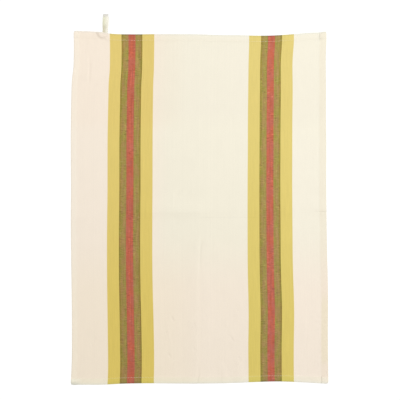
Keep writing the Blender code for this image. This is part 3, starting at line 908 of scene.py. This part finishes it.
class Finish:
    """A material in the making, to which node() adds every part."""

    def __init__(self, name):
        self.material = bpy.data.materials.new(name)
        self.material.use_nodes = True
        self.nodes = self.material.node_tree.nodes
        self.nodes.clear()

    def node(self, kind, sockets, out=0, **settings):
        """Adds a node: its settings first, then its sockets' values or links. Gives one output."""
        made = self.nodes.new(kind)
        for name, value in settings.items():
            setattr(made, name, value)
        for name, value in sockets.items():
            if isinstance(value, Wire):
                self.material.node_tree.links.new(value.socket, made.inputs[name])
            else:
                made.inputs[name].default_value = value
        return Wire(self, made.outputs[out]) if made.outputs else made

    def place(self):
        """The place in the weave, as (the vector, across, along, the third)."""
        vector = self.node("ShaderNodeAttribute", {}, out="Vector", attribute_name="woven")
        return vector, *(self.node("ShaderNodeSeparateXYZ", {0: vector}, out=k) for k in range(3))

    def noise(self, vector, grain):
        """Soft noise from 0 to 1 with such grains."""
        per_metre = (1.0 / grain.across, 1.0 / grain.along, 0.0)
        scaled = self.node(
            "ShaderNodeVectorMath",
            {0: vector, 1: per_metre, 2: (grain.start, grain.start, grain.start)},
            operation="MULTIPLY_ADD",
        )
        return self.node("ShaderNodeTexNoise", {"Vector": scaled, "Scale": 1.0, "Detail": grain.detail})

    def step(self, value, low, high):
        """A soft step from 0 at low to 1 at high."""
        sockets = {0: value, 1: low, 2: high, 3: 0.0, 4: 1.0}
        return self.node("ShaderNodeMapRange", sockets, interpolation_type="SMOOTHSTEP")

    def scatter(self, number, shift):
        """A random value from 0 to 1 for each whole number."""
        return self.node("ShaderNodeTexWhiteNoise", {"W": number + shift}, noise_dimensions="1D")

    def mix(self, share, low, high):
        """A colour between two others."""
        low, high = (value if isinstance(value, Wire) else (*value, 1.0) for value in (low, high))
        return self.node("ShaderNodeMix", {0: share, 6: low, 7: high}, out=2, data_type="RGBA")

    def shaded(self, colour, brightness):
        """A colour made brighter or darker."""
        return self.node("ShaderNodeVectorMath", {0: colour, "Scale": brightness}, operation="SCALE")

    def toned(self, colour, tone, share):
        """A colour multiplied by a tone, in part."""
        tone = self.mix(share, NO_TONE, tone)
        return self.node("ShaderNodeVectorMath", {0: colour, 1: tone}, operation="MULTIPLY")

    def cotton(self, colour, roughness, height, sheen):
        """Ends the material: a matt cotton surface with this colour and these heights, in metres."""
        normal = self.node("ShaderNodeBump", {"Strength": 1.0, "Distance": 1.0, "Height": height})
        shader = self.node(
            "ShaderNodeBsdfPrincipled",
            {
                "Base Color": colour,
                "Roughness": roughness,
                "Normal": normal,
                "Specular IOR Level": 0.25,
                "Sheen Weight": sheen,
                "Sheen Roughness": 0.5,
            },
        )
        self.node("ShaderNodeOutputMaterial", {"Surface": shader})
        return self.material


def woven_threads(finish, vector, across, along_it):
    """The warp and the weft, which pass over each other by turns and wander a little: the number of the
    warp thread, how high the upper of the two stands, and where that is the weft."""
    warp = across / WARP_PITCH
    weft = along_it / WEFT_PITCH
    warp_sway = finish.noise(vector, WARP_SWAY) - 0.5
    weft_sway = finish.noise(vector, WEFT_SWAY) - 0.5
    warp_wave = ((warp + warp_sway * THREAD_SWAY) * math.pi).sine()
    weft_wave = ((weft + weft_sway * THREAD_SWAY) * math.pi).sine()
    over = warp_wave * weft_wave
    warp_rise = abs(warp_wave) * (over + 1.0) * 0.5
    weft_rise = abs(weft_wave) * (1.0 - over) * 0.5
    return warp.floor(), warp_rise.most(weft_rise), finish.step(weft_rise - warp_rise, *CROSSING)


def unevenly_dyed(finish, vector, colour, dyed, dark, olive, on_right):
    """The dye took unevenly: the olive wanders between green and brown, the coral between red and pink."""
    patch = finish.step(finish.noise(vector, DYE_PATCH), *DYE_SPAN)
    on_olive = finish.mix(patch, GREEN_OLIVE, BROWN_OLIVE)
    on_coral = finish.mix(patch, RED_CORAL, PINK_CORAL)
    colour = finish.toned(colour, finish.mix(olive, on_coral, on_olive), dark)
    return finish.toned(colour, RIGHT_GROUP_TONE, on_right * dyed)


def toned_parts(finish, colour, across, along_it):
    """The colour with the tones of the cloth's parts."""
    for across_span, along_span, tone in TONES:
        spans = [(across, across_span), (along_it, along_span)]
        shares = [finish.step(place, *span) for place, span in spans if span]
        share = shares[0] * shares[1] if len(shares) == 2 else shares[0]
        colour = finish.toned(colour, tone, share)
    return colour


def strength(grain, dyed, dark):
    """How strongly a grain shows on plain cloth, on dyed stripes and on the dark ones."""
    return dark * grain.dark + dyed * grain.dyed + grain.plain


def unevenness(finish, vector, thread, dyed, dark):
    """How much brighter or darker the cloth is from place to place, for its threads and its mottling."""
    dash = finish.noise(vector, DASH)
    dash = finish.step(dash, *PALE_DASH) * PALE_SWING - finish.step(dash, *DARK_DASH) * DARK_SWING
    clusters = finish.step(finish.noise(vector, DASH_CLUSTER), *CLUSTER_SPAN)
    brightness = 1.0 + dash * clusters * strength(DASH, dyed, dark)
    for grain in (STREAK, BAR, FIBRE, MOTTLE):
        swing = (finish.noise(vector, grain) - 0.5) * strength(grain, dyed, dark)
        brightness = brightness * (1.0 + swing)
    swing = (finish.scatter(thread, 0.5) - 0.5) * (dark * DARK_THREAD_SWING + THREAD_SWING)
    return brightness * (1.0 + swing)


def striped_cotton():
    """Plain-woven cotton: cream, with the two groups of warp stripes and slubs of the pale weft."""
    finish = Finish("striped_cotton")
    vector, across, along_it, crease_shade = finish.place()
    thread, top, weft_shows = woven_threads(finish, vector, across, along_it)

    # The cream, and the stripes, each thread of one colour; the stripes are a little darker at the foot
    thread_x = (thread + 0.5) * WARP_PITCH
    from_group = abs(thread_x - LEFT_GROUP).least(abs(thread_x - RIGHT_GROUP))
    to_head = finish.step(along_it, -FOOT_REACH, HEAD_REACH)
    # the pink is painted light: the warmer cast away from the lamp, everywhere but the upper right
    pale = finish.step(across, *PALE_ACROSS) * finish.step(along_it, *PALE_ALONG)
    colour = finish.mix(pale, CREAM_WARM_CAST, CREAM_PALE)
    weft_share = 0.0
    within = {}
    for stripe in reversed(STRIPES):
        inside = finish.step(from_group, stripe.reach, stripe.reach - DYE_EDGE)
        colour = finish.mix(inside, colour, finish.mix(to_head, stripe.at_foot, stripe.at_head))
        weft_share = inside * stripe.weft + (1.0 - inside) * weft_share
        within[stripe.name] = inside
    dyed, dark = within["yellow"], within["outer_olive"]
    olive = dark * (1.0 - within["coral"])
    on_right = finish.step(across, *RIGHT_HALF)
    colour = unevenly_dyed(finish, vector, colour, dyed, dark, olive, on_right)

    # The pale weft between and over the dyed warp, with its slubs
    slub = finish.step(finish.noise(vector, SLUB), *SLUB_SPAN) * strength(SLUB, dyed, dark)
    colour = finish.mix((weft_shows * weft_share).most(slub), colour, WEFT_CREAM)

    colour = toned_parts(finish, colour, across, along_it)
    # painted shade along the rolled rims at the head and the foot
    rim_shade = finish.step(along_it, *HEAD_RIM_SHADE) + finish.step(along_it, *FOOT_RIM_SHADE)
    # the deeper threads are painted darker, as the shade in the weave's hollows
    brightness = (CLOTH_DEEPEST + top * CLOTH_GAIN) * unevenness(finish, vector, thread, dyed, dark)
    brightness = brightness * (1.0 + (on_right - 0.5) * dark * RIGHT_GAIN)
    brightness = brightness * (1.0 - rim_shade * (dark * DARK_RIM_SHADE + dyed * DYED_RIM_SHADE))
    # the painted shade of the creases darkens the colour
    colour = finish.shaded(colour, brightness * (1.0 - crease_shade))

    fibre = finish.noise(vector, FIBRE) - 0.5
    height = top * THREAD_RISE + fibre * FIBRE_RISE + finish.noise(vector, CRUMPLE) * CRUMPLE_RISE
    roughness = CLOTH_ROUGH + finish.noise(vector, ROUGH) * CLOTH_ROUGHER
    return finish.cotton(colour, roughness, height, SHEEN)


def cotton_tape():
    """Narrow cotton tape, undyed, woven in a fine herringbone; painted paler on its lit right side, with
    painted shade on its left, at its base and at its fold.
    """
    finish = Finish("herringbone_tape")
    vector, across, along_it, place_y = finish.place()
    rib = ((abs(across) + along_it) * (math.pi / HERRINGBONE_PITCH)).sine()
    yarn = ((along_it - abs(across)) * (math.pi / YARN_PITCH)).sine()
    top = abs(rib) * (1.0 - YARN_SHARE) + abs(rib) * abs(yarn) * YARN_SHARE
    fibre = finish.noise(vector, TAPE_FIBRE) - 0.5
    mottle = finish.noise(vector, TAPE_MOTTLE) - 0.5
    # painted light and shade: paler on the lit right side, darker on the shaded left
    colour = finish.mix(finish.step(across, *TAPE_LIT_SPAN), TAPE_SHADED_LEFT, TAPE_LIT_RIGHT)
    # painted shade where the tape dips into the hem, and grey painted shade at its fold
    base_shade = finish.step(place_y, *TAPE_BASE_SHADE_ALONG) * finish.step(across, *TAPE_BASE_SHADE_ACROSS)
    colour = finish.toned(colour, TAPE_BASE_SHADE, base_shade)
    colour = finish.mix(finish.step(place_y, *TAPE_FOLD_SHADE_ALONG), colour, TAPE_FOLD_SHADE)
    uneven = 1.0 + fibre * TAPE_FIBRE.plain + mottle * TAPE_MOTTLE.plain
    # the herringbone's hollows are painted darker, as shade
    colour = finish.shaded(colour, (TAPE_DEEPEST + top * TAPE_GAIN) * uneven)
    height = top * TAPE_RISE + fibre * FIBRE_RISE
    return finish.cotton(colour, TAPE_ROUGH + fibre * TAPE_ROUGHER, height, SHEEN)


def sewing_thread():
    """Pale two-ply cotton thread."""
    finish = Finish("pale_sewing_thread")
    _, length, turn, number = finish.place()
    ply = abs(((length / PLY_PITCH + turn) * math.pi).sine())
    tone = finish.scatter((number + 0.5).floor(), 0.5)
    colour = finish.mix(tone, THREAD_DARK, THREAD_PALE)
    # the ply's hollows are painted darker, as shade
    colour = finish.shaded(colour, THREAD_DEEPEST + ply * THREAD_GAIN)
    return finish.cotton(colour, THREAD_ROUGH + tone * THREAD_ROUGHER, ply * PLY_RISE, THREAD_SHEEN)


def studio_floor():
    """A plain floor that glows evenly white, far wider than the towel."""
    corners = [(x * FLOOR_HALF, y * FLOOR_HALF, 0.0) for x, y in ((-1, -1), (1, -1), (1, 1), (-1, 1))]
    mesh = bpy.data.meshes.new("studio_floor")
    mesh.from_pydata(corners, [], [(0, 1, 2, 3)])
    finish = Finish("white_floor")
    shader = finish.node(
        "ShaderNodeBsdfPrincipled",
        {
            "Base Color": (FLOOR_GREY, FLOOR_GREY, FLOOR_GREY, 1.0),
            "Roughness": 0.9,
            "Specular IOR Level": 0.0,
            "Emission Color": (1.0, 1.0, 1.0, 1.0),
            "Emission Strength": FLOOR_GLOW,
        },
    )
    finish.node("ShaderNodeOutputMaterial", {"Surface": shader})
    mesh.materials.append(finish.material)
    floor = bpy.data.objects.new("studio_floor", mesh)
    bpy.context.collection.objects.link(floor)


def light_and_camera():
    """Even studio light with one soft lamp from the upper right, seen from straight above."""
    scene = bpy.context.scene
    scene.view_settings.view_transform = "Standard"
    world = bpy.data.worlds.new("studio")
    world.use_nodes = True
    background = world.node_tree.nodes["Background"]
    background.inputs["Color"].default_value = (*STUDIO_LIGHT, 1.0)
    background.inputs["Strength"].default_value = 1.0
    scene.world = world

    lamp = bpy.data.lights.new("key", "AREA")
    lamp.size = KEY_SIZE
    lamp.energy = KEY_POWER
    lamp.color = KEY_COLOUR
    obj = bpy.data.objects.new("key", lamp)
    obj.location = KEY_PLACE
    obj.rotation_euler = (-Vector(KEY_PLACE)).to_track_quat("-Z", "Y").to_euler()
    bpy.context.collection.objects.link(obj)

    camera = bpy.data.cameras.new("above")
    camera.lens = LENS
    camera.sensor_width = SENSOR
    obj = bpy.data.objects.new("above", camera)
    obj.location = (*FRAME_MIDDLE, FRAME_WIDTH * LENS / SENSOR)
    bpy.context.collection.objects.link(obj)
    scene.camera = obj


def main():
    random = np.random.default_rng(7)
    light_and_camera()
    studio_floor()
    thread = sewing_thread()
    cloth = make_cloth(striped_cotton())
    loop = make_loop(cotton_tape())
    stitches = make_hem_stitches(thread, random)


main()
